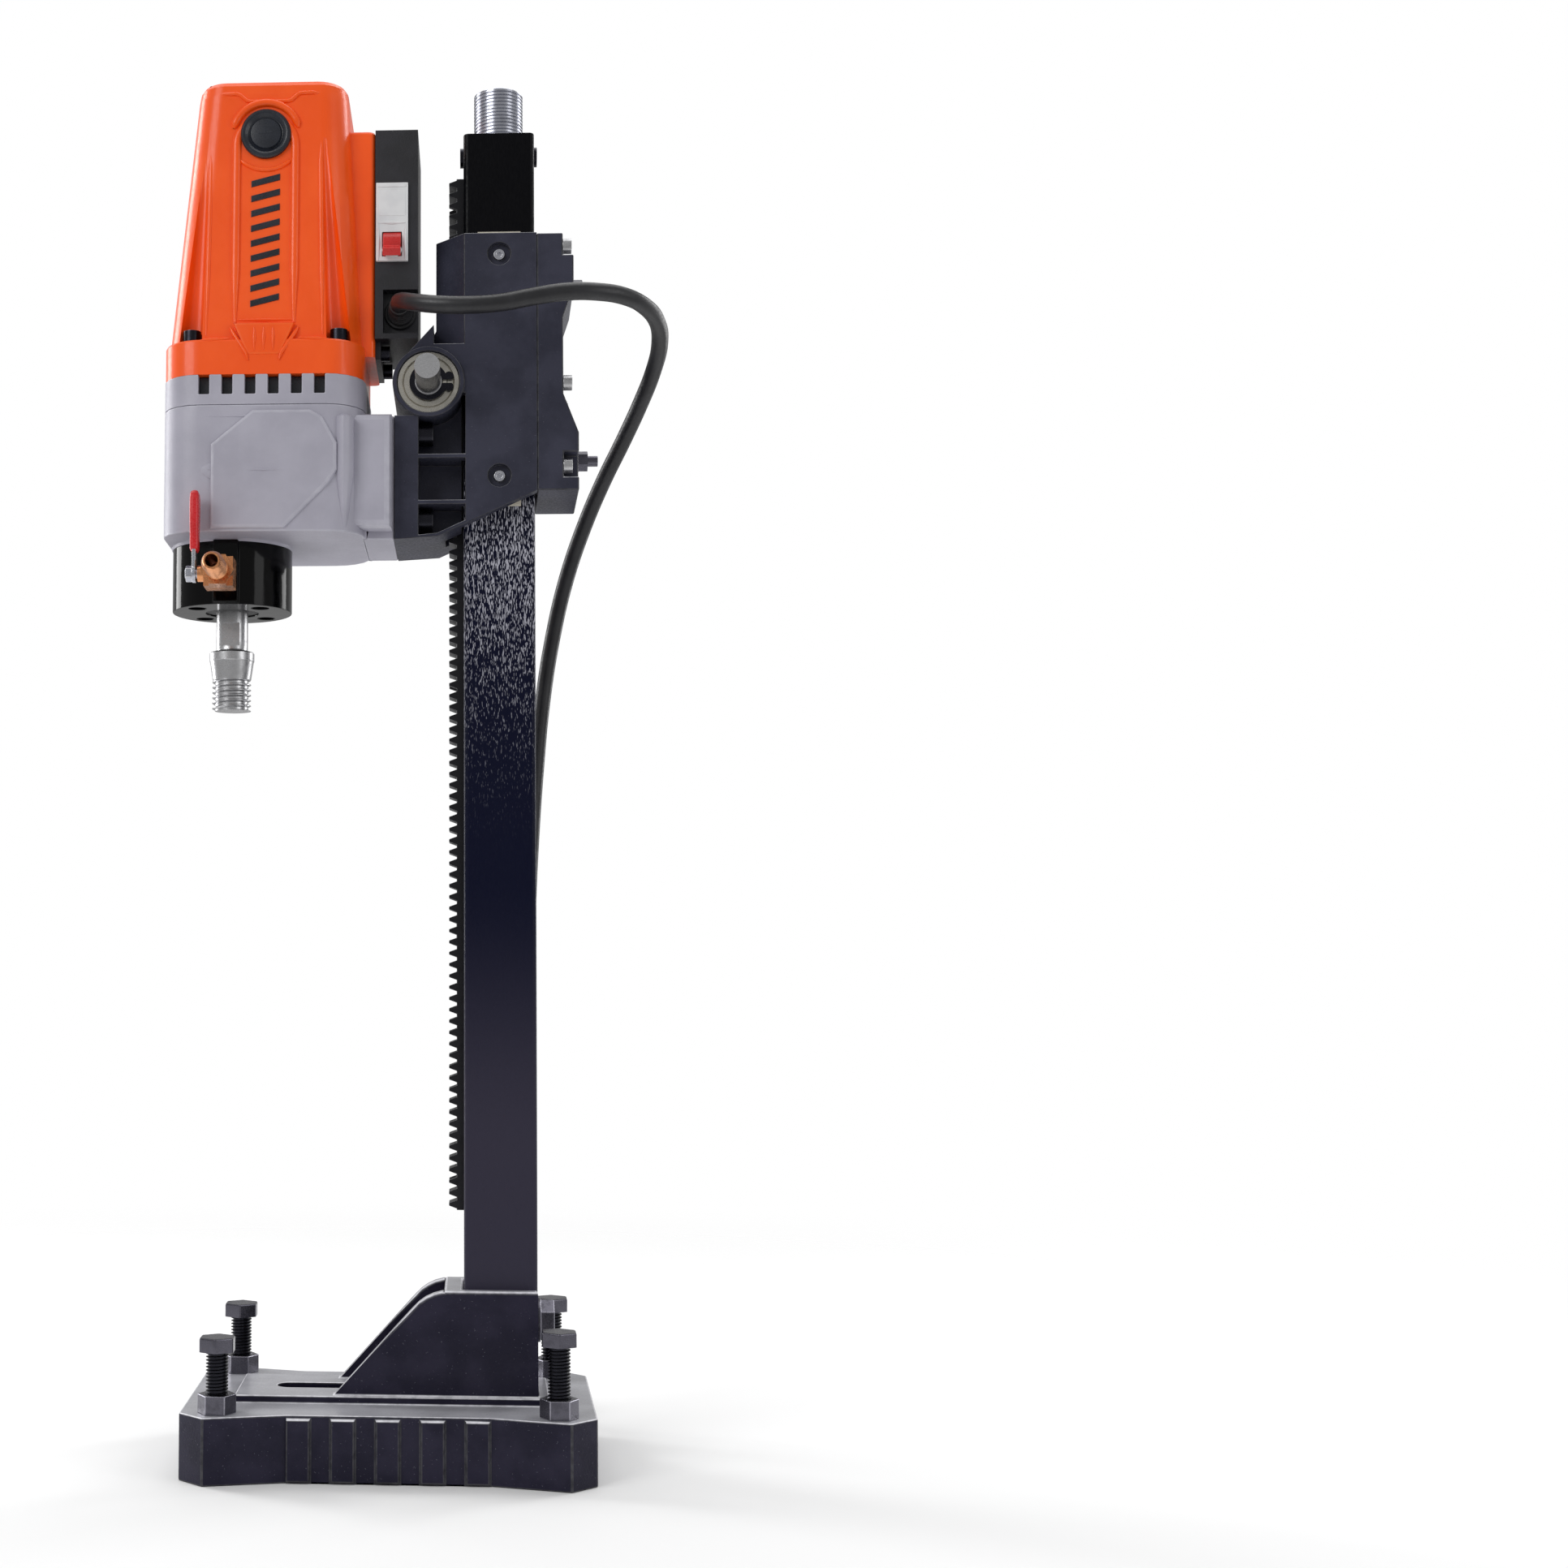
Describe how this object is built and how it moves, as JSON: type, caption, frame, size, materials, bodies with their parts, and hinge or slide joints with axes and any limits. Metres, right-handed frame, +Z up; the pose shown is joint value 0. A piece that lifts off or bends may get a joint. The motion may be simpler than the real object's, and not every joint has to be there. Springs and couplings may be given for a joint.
{
  "type": "core drill rig",
  "caption": "Core drill rig: rack column on a cast base with levelling screws, carriage fed by a pinion shaft, wet core drill motor with gearbox, water collar, switch box and cable.",
  "frame": {"origin": "on the floor, under the middle of the base casting", "axes": "+Z up along the column, +X from the spindle towards the column, +Y away from the side with the feed shaft's free end and the water valve"},
  "size_m": [0.2819, 0.3116, 0.772],
  "materials": {
    "base_paint": "rough black painted casting",
    "carriage_paint": "rough black painted casting",
    "column_black": "satin black over lengthwise brushing",
    "rack_black": "black oxide, oiled",
    "dark_zinc": "dark zinc plate",
    "steel": "turned steel",
    "bright_steel": "bright steel",
    "bearing_steel": "ground bearing steel",
    "black_oxide": "black oxide",
    "pad_plastic": "low-friction plastic",
    "cast_aluminium": "grey painted die casting",
    "orange_plastic": "semi-gloss moulding",
    "black_plastic": "fine-textured moulding",
    "box_plastic": "textured moulding",
    "lamination": "varnished laminations",
    "carbon": "pressed carbon",
    "gloss_black": "gloss black",
    "seal_rubber": "black rubber",
    "brass": "raw brass",
    "red_grip": "dipped red vinyl",
    "breaker_white": "white moulding",
    "toggle_red": "red moulding",
    "cable_rubber": "black sheath",
    "plug_rubber": "black moulding"
  },
  "bodies": {
    "stand": {"base_casting": "base_paint", "levelling_nuts": "dark_zinc", "column_tube": "column_black", "column_bolt": "dark_zinc", "column_nut": "dark_zinc", "rack": "rack_black", "rack_screws": "steel", "column_head_nut": "steel", "stop_screws": "black_oxide", "cord_tube": "cable_rubber", "cord_coil": "cable_rubber", "cord_end": "cable_rubber", "plug": "plug_rubber"},
    "carriage": {"carriage_body": "carriage_paint", "carriage_rear_cap": "carriage_paint", "rear_cap_screws": "steel", "side_pads": "pad_plastic", "side_pad_screws": "bright_steel", "rear_pads": "pad_plastic", "rear_pad_studs": "dark_zinc", "rear_pad_nuts": "dark_zinc", "feed_bearings": "bearing_steel", "gearbox_mount_screws": "black_oxide", "gearbox_housing": "cast_aluminium", "gearbox_cover": "cast_aluminium", "motor_housing": "orange_plastic", "motor_screws": "black_oxide", "stator": "lamination", "carbon_brushes": "carbon", "brush_caps": "black_plastic", "armature_bearings": "bearing_steel", "layshaft_bearings": "bearing_steel", "spindle_bearings": "bearing_steel", "water_collar": "gloss_black", "water_seals": "seal_rubber", "valve_body": "brass", "hose_tail": "brass", "switch_box": "box_plastic", "switch_box_screws": "black_oxide", "breaker": "breaker_white", "cable_gland": "seal_rubber"},
    "levelling_screw_front_left": {"levelling_screw_front_left": "dark_zinc"},
    "levelling_screw_rear_left": {"levelling_screw_rear_left": "dark_zinc"},
    "levelling_screw_front_right": {"levelling_screw_front_right": "dark_zinc"},
    "levelling_screw_rear_right": {"levelling_screw_rear_right": "dark_zinc"},
    "jack_screw": {"jack_screw": "bright_steel"},
    "feed_pinion": {"feed_pinion_shaft": "steel", "feed_snap_ring": "black_oxide"},
    "armature": {"armature": "lamination", "cooling_fan": "black_plastic"},
    "layshaft": {"layshaft": "steel", "layshaft_gear": "steel"},
    "spindle": {"spindle": "steel", "spindle_gear": "steel"},
    "valve": {"valve_ball": "bright_steel", "valve_lever": "bright_steel", "valve_lever_sleeve": "red_grip", "valve_lever_nut": "bright_steel"},
    "toggle": {"breaker_toggle": "toggle_red"}
  },
  "joints": [
    {"name": "carriage_slide", "type": "slide", "parent": "stand", "child": "carriage", "axis": [0, 0, 1], "range_m": [-0.36, 0.045], "deforming": ["cord_tube"]},
    {"name": "pinion_spin", "type": "hinge", "parent": "carriage", "child": "feed_pinion", "pos_m": [0.0205, 0, 0.59467], "axis": [0, 1, 0], "continuous": true},
    {"name": "armature_spin", "type": "hinge", "parent": "carriage", "child": "armature", "pos_m": [-0.07, 0, 0.65], "axis": [0, 0, 1], "continuous": true},
    {"name": "layshaft_spin", "type": "hinge", "parent": "carriage", "child": "layshaft", "pos_m": [-0.06296, 0.02451, 0.55], "axis": [0, 0, 1], "continuous": true},
    {"name": "spindle_spin", "type": "hinge", "parent": "carriage", "child": "spindle", "pos_m": [-0.092, 0, 0.5], "axis": [0, 0, 1], "continuous": true},
    {"name": "valve_turn", "type": "hinge", "parent": "carriage", "child": "valve", "pos_m": [-0.092, -0.06, 0.4822], "axis": [1, 0, 0], "range_deg": [0, 90]},
    {"name": "toggle_tip", "type": "hinge", "parent": "carriage", "child": "toggle", "pos_m": [0, -0.028, 0.6737], "axis": [1, 0, 0], "range_deg": [-60, 0]},
    {"name": "jack_travel", "type": "slide", "parent": "stand", "child": "jack_screw", "axis": [0, 0, 1], "range_m": [-0.02, 0.03]},
    {"name": "levelling_front_left", "type": "slide", "parent": "stand", "child": "levelling_screw_front_left", "axis": [0, 0, 1], "range_m": [-0.015, 0.02]},
    {"name": "levelling_rear_left", "type": "slide", "parent": "stand", "child": "levelling_screw_rear_left", "axis": [0, 0, 1], "range_m": [-0.015, 0.02]},
    {"name": "levelling_front_right", "type": "slide", "parent": "stand", "child": "levelling_screw_front_right", "axis": [0, 0, 1], "range_m": [-0.015, 0.02]},
    {"name": "levelling_rear_right", "type": "slide", "parent": "stand", "child": "levelling_screw_rear_right", "axis": [0, 0, 1], "range_m": [-0.015, 0.02]}
  ],
  "couplings": [
    {"joint": "pinion_spin", "follows": "carriage_slide", "rad_per_m": 76.923},
    {"joint": "layshaft_spin", "follows": "armature_spin", "ratio": -0.36},
    {"joint": "spindle_spin", "follows": "armature_spin", "ratio": 0.12857}
  ]
}
